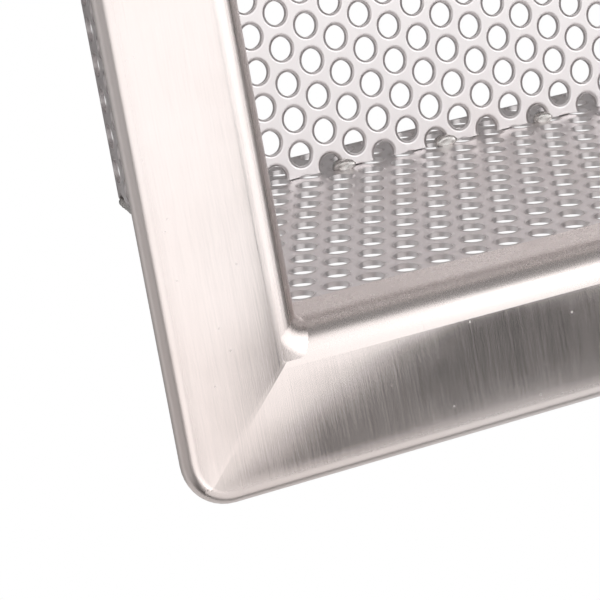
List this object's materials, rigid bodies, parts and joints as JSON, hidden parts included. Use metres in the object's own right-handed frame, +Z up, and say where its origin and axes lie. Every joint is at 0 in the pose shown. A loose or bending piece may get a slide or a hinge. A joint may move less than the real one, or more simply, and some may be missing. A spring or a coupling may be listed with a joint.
{
  "type": "cheese mould",
  "caption": "Rectangular tapered cheese mould of punched stainless sheet with a raised punched floor and a wide mitred angle rim.",
  "frame": {"origin": "centre of the mould's footprint, on the surface it stands on", "axes": "+Z up out of the mouth, +X along the long sides towards the right one, +Y towards the rear long side"},
  "size_m": [0.3, 0.2, 0.088],
  "materials": {
    "punched_sheet": "satin, round holes punched in staggered rows",
    "rim_steel": "brushed and rubbed down, fine scratches",
    "ground_weld": "weld ground flush and brushed across",
    "weld_bead": "bright weld metal, left as it set"
  },
  "bodies": {
    "root": {"floor_panel": "punched_sheet", "wall_front": "punched_sheet", "wall_rear": "punched_sheet", "wall_left": "punched_sheet", "wall_right": "punched_sheet", "rim_rail_front": "rim_steel", "rim_rail_rear": "rim_steel", "rim_rail_left": "rim_steel", "rim_rail_right": "rim_steel", "mitre_weld_front_left": "ground_weld", "mitre_weld_front_right": "ground_weld", "mitre_weld_rear_left": "ground_weld", "mitre_weld_rear_right": "ground_weld", "corner_seam_weld_front_left": "weld_bead", "corner_seam_weld_front_right": "weld_bead", "corner_seam_weld_rear_left": "weld_bead", "corner_seam_weld_rear_right": "weld_bead", "floor_tack_welds_front": "weld_bead", "floor_tack_welds_rear": "weld_bead", "floor_tack_welds_left": "weld_bead", "floor_tack_welds_right": "weld_bead", "rim_stitch_welds_front": "weld_bead", "rim_stitch_welds_rear": "weld_bead", "rim_stitch_welds_left": "weld_bead", "rim_stitch_welds_right": "weld_bead"}
  },
  "joints": []
}
